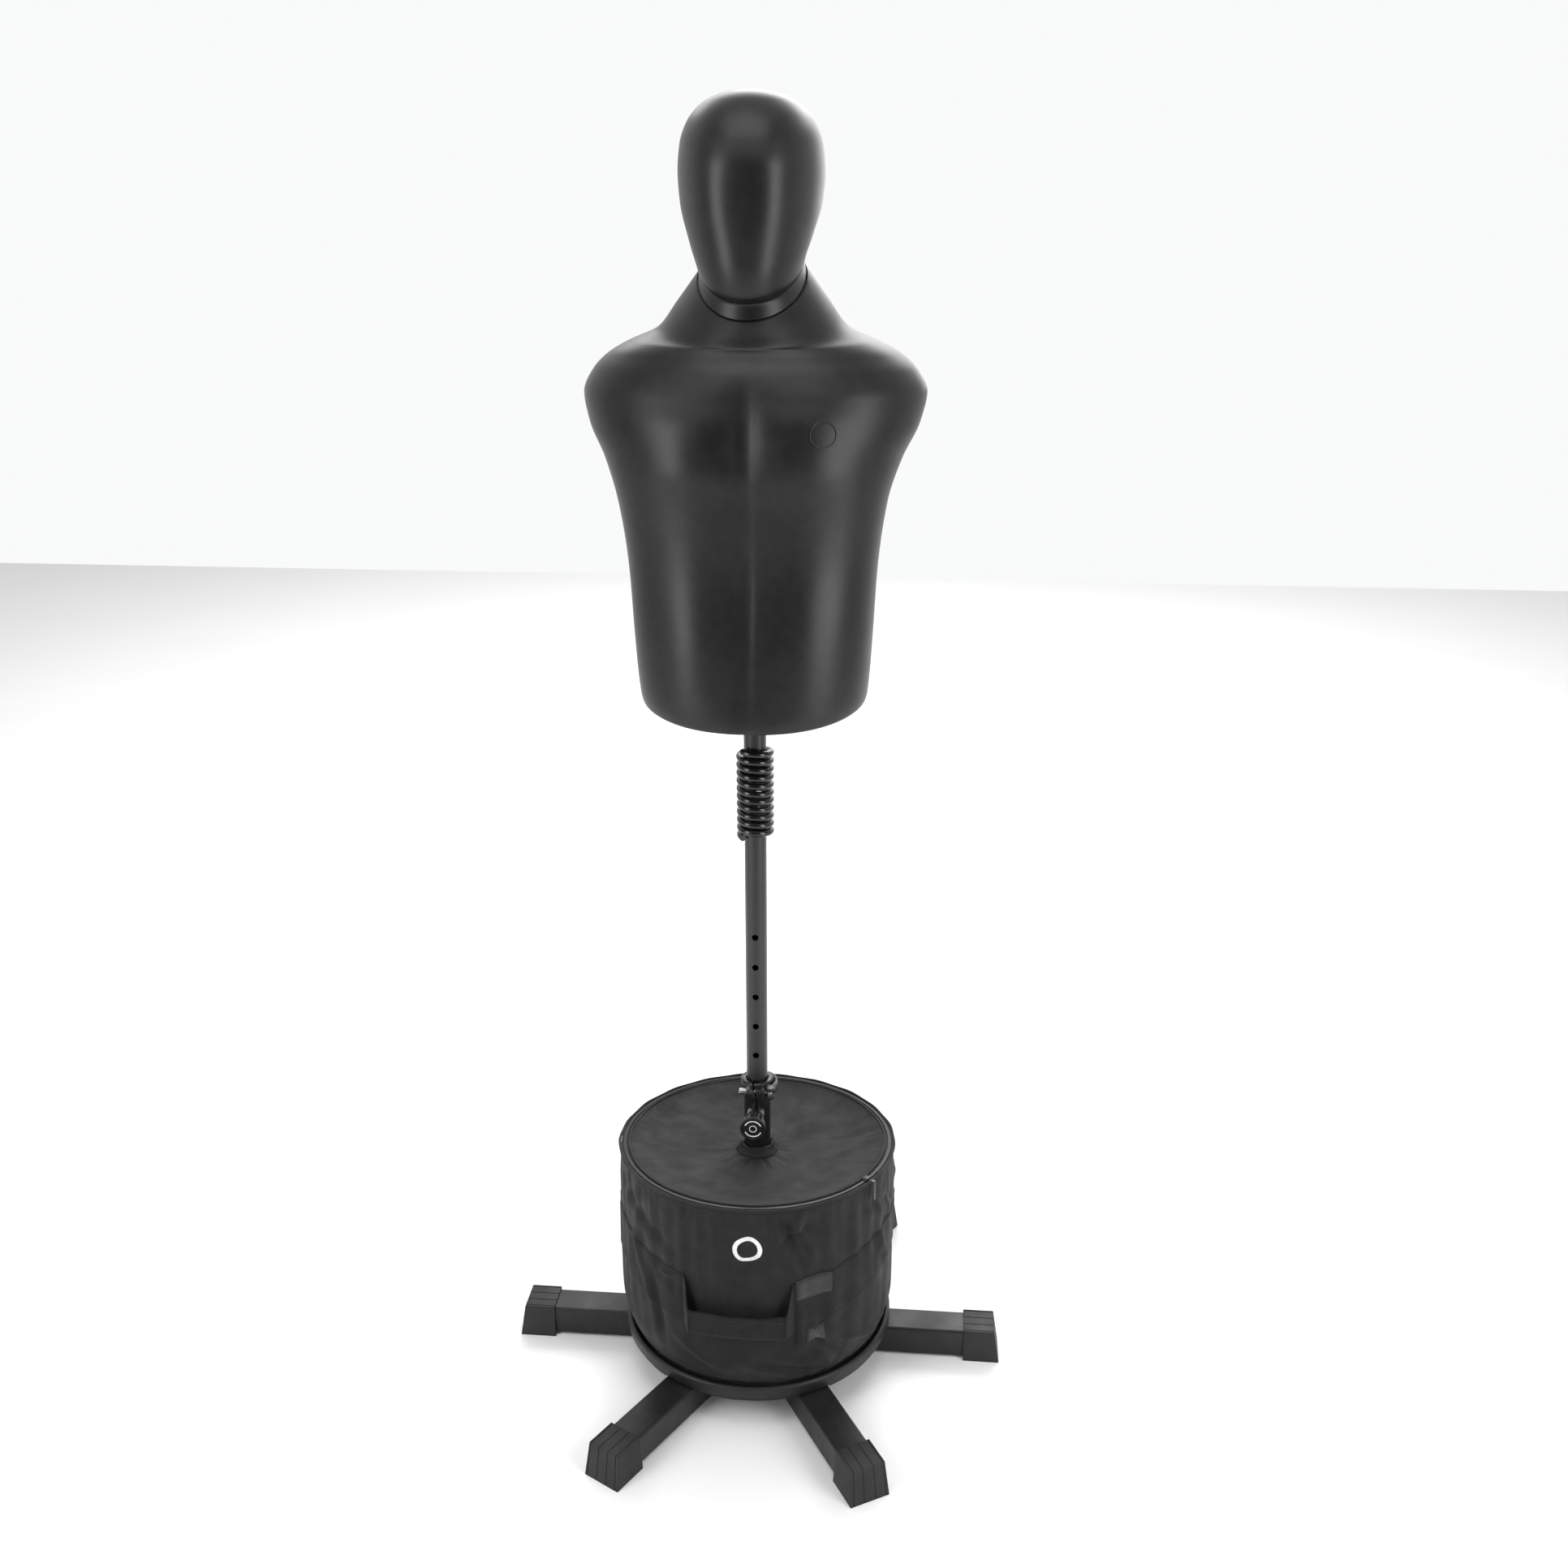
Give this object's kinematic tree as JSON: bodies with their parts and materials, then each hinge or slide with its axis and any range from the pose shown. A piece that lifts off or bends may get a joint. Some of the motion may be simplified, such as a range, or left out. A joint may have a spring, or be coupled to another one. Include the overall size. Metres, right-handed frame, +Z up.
{
  "type": "body opponent mannequin",
  "caption": "Padded punching torso with a featureless head, on a spring and an adjustable mast, over a round base with a ballast bag.",
  "frame": {"origin": "on the floor, on the mast's axis", "axes": "+Z up along the mast, the mannequin's front towards -Y, +X to the viewer's right from the front"},
  "size_m": [0.7708, 0.6986, 1.853],
  "materials": {
    "leg_steel": "satin",
    "post_steel": "gloss",
    "spring_steel": "gloss",
    "bare_steel": "satin",
    "clamp_metal": "satin",
    "cap_plastic": "matte",
    "tray_plastic": "satin",
    "bush_plastic": "satin",
    "knob_plastic": "satin",
    "bag_fabric": "matte",
    "webbing": "matte",
    "sand": "matte",
    "body_skin": "satin",
    "foam": "matte",
    "plywood": "matte"
  },
  "bodies": {
    "base": {"hub": "leg_steel", "leg_1": "leg_steel", "leg_2": "leg_steel", "leg_3": "leg_steel", "leg_4": "leg_steel", "leg_5": "leg_steel", "leg_6": "leg_steel", "leg_cap_1": "cap_plastic", "leg_cap_2": "cap_plastic", "leg_cap_3": "cap_plastic", "leg_cap_4": "cap_plastic", "leg_cap_5": "cap_plastic", "leg_cap_6": "cap_plastic", "leg_bolt_1": "bare_steel", "leg_bolt_2": "bare_steel", "leg_bolt_3": "bare_steel", "leg_bolt_4": "bare_steel", "leg_bolt_5": "bare_steel", "leg_bolt_6": "bare_steel", "tray": "tray_plastic", "outer_tube": "post_steel", "guide_bush": "bush_plastic", "clamp_collar": "clamp_metal", "clamp_skewer": "bare_steel", "clamp_washer": "bush_plastic", "clamp_pivot": "bare_steel", "pin_barrel": "post_steel", "bag_shell": "bag_fabric", "bag_lid": "bag_fabric", "bag_sleeve": "bag_fabric", "zip_tape": "webbing", "right_band": "bag_fabric", "left_band": "bag_fabric", "ballast_sack": "sand"},
    "mast": {"mast_tube": "post_steel", "mast_foot": "bush_plastic"},
    "spring": {"coil_spring": "spring_steel"},
    "torso": {"upper_post": "post_steel", "post_socket": "bare_steel", "torso_plate": "plywood", "plate_screw_1": "bare_steel", "plate_screw_2": "bare_steel", "plate_screw_3": "bare_steel", "plate_screw_4": "bare_steel", "torso_core": "foam", "torso_skin": "body_skin", "head_core": "foam", "head_skin": "body_skin"},
    "locking_pin": {"lock_pin": "bare_steel"},
    "knob": {"pull_knob": "knob_plastic", "knob_disc": "knob_plastic"},
    "lever": {"clamp_lever": "clamp_metal"},
    "nut": {"clamp_nut": "clamp_metal"},
    "slider": {"zip_slider": "clamp_metal"},
    "pull_tab": {"zip_pull": "clamp_metal"},
    "front_grip": {"front_handle": "webbing"},
    "rear_grip": {"rear_handle": "webbing"}
  },
  "joints": [
    {"name": "mast_height", "type": "slide", "parent": "base", "child": "mast", "axis": [0, 0, 1], "range_m": [-0.2916, 0.0486]},
    {"name": "spring_bend_fore_aft", "type": "hinge", "parent": "mast", "child": "spring", "pos_m": [0, 0, 0.92], "axis": [1, 0, 0], "range_deg": [-20, 20], "stiffness_Nm_per_rad": 350, "deforming": ["coil_spring"]},
    {"name": "spring_bend_side", "type": "hinge", "parent": "spring", "child": "torso", "pos_m": [0, 0, 0.953], "axis": [0, 1, 0], "range_deg": [-20, 20], "stiffness_Nm_per_rad": 350, "deforming": ["coil_spring"]},
    {"name": "pin_travel", "type": "slide", "parent": "base", "child": "locking_pin", "axis": [0, 1, 0], "range_m": [-0.003, 0.007]},
    {"name": "knob_turn", "type": "hinge", "parent": "locking_pin", "child": "knob", "pos_m": [0, -0.05, 0.4265], "axis": [0, 1, 0], "range_deg": [-860, 2010]},
    {"name": "clamp_lever_open", "type": "hinge", "parent": "base", "child": "lever", "pos_m": [0.0215, -0.025, 0.467], "axis": [0, 0, -1], "range_deg": [0, 150]},
    {"name": "clamp_nut_turn", "type": "hinge", "parent": "base", "child": "nut", "pos_m": [-0.0133, -0.025, 0.467], "axis": [1, 0, 0], "continuous": true},
    {"name": "zip_run", "type": "hinge", "parent": "base", "child": "slider", "pos_m": [0, 0, 0.3715], "axis": [0, -0.0574, -0.9984], "range_deg": [0, 190]},
    {"name": "zip_pull_lift", "type": "hinge", "parent": "slider", "child": "pull_tab", "pos_m": [0.17711, -0.11067, 0.37995], "axis": [-0.5299, -0.848, 0], "range_deg": [0, 85]},
    {"name": "front_handle_swing", "type": "hinge", "parent": "base", "child": "front_grip", "pos_m": [-0.00763, -0.19855, 0.2175], "axis": [-0.9993, 0.0384, 0], "range_deg": [0, 55]},
    {"name": "rear_handle_swing", "type": "hinge", "parent": "base", "child": "rear_grip", "pos_m": [0.00763, 0.19855, 0.2175], "axis": [0.9993, -0.0384, 0], "range_deg": [0, 55]}
  ],
  "couplings": [
    {"joint": "pin_travel", "follows": "knob_turn", "m_per_rad": 0.00019894}
  ]
}
